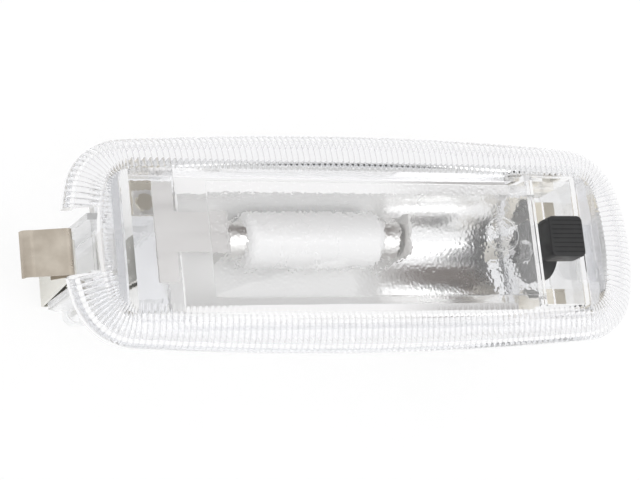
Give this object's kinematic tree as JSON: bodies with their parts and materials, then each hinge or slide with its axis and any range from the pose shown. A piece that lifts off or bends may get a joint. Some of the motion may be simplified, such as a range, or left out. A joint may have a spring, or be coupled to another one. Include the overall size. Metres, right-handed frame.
{
  "type": "car dome light",
  "caption": "Long roof lamp for a car: clear fluted lens, polished trough with a festoon bulb, three-way rocker switch and a spring clip that holds it in the roof panel.",
  "frame": {"origin": "centre of the flat back of the tub, under the middle of the lens flange", "axes": "+X along the lamp towards the switch, +Y across it, +Z out of the lens"},
  "size_m": [0.1302, 0.0444, 0.0427],
  "materials": {
    "clear_lens": "clear moulded plastic, fluted rim, pebbled pane",
    "milky_plastic": "clear to milky moulded plastic",
    "polished_sheet": "polished sheet",
    "bulb_glass": "clear blown glass",
    "bulb_cap": "drawn metal cap",
    "tungsten": "drawn wire",
    "tinned_strip": "tinned spring strip",
    "brass": "plain stamped brass",
    "black_plastic": "satin moulded plastic",
    "steel_pin": "drawn pin",
    "white_plastic": "white moulded plastic",
    "contact_bronze": "spring bronze strip",
    "plated_spring_steel": "nickel plated strip, mottled"
  },
  "bodies": {
    "lamp": {"lens_cover": "clear_lens", "base_housing": "milky_plastic", "reflector": "polished_sheet", "bulb_glass": "bulb_glass", "bulb_cap_left": "bulb_cap", "bulb_cap_right": "bulb_cap", "bulb_filament": "tungsten", "bulb_holder_left": "tinned_strip", "bulb_holder_right": "tinned_strip", "holder_rivet": "brass", "switch_pin": "steel_pin", "switch_carrier": "white_plastic", "feed_spring": "contact_bronze", "contact_leaf_ground": "contact_bronze", "contact_leaf_door": "contact_bronze", "contact_rivets": "brass", "terminal_live": "brass", "terminal_ground": "brass", "terminal_door": "brass"},
    "rocker": {"switch_lever": "black_plastic", "rotor_contact": "contact_bronze"},
    "clip": {"spring_clip": "plated_spring_steel"}
  },
  "joints": [
    {"name": "rocker_tilt", "type": "hinge", "parent": "lamp", "child": "rocker", "pos_m": [0.0434, 0, 0.0291], "axis": [1, 0, 0], "range_deg": [-12, 12]},
    {"name": "clip_flex", "type": "hinge", "parent": "lamp", "child": "clip", "pos_m": [-0.0556, 0, 0.0195], "axis": [0, 1, 0], "range_deg": [0, 12], "stiffness_Nm_per_rad": 0.8}
  ]
}
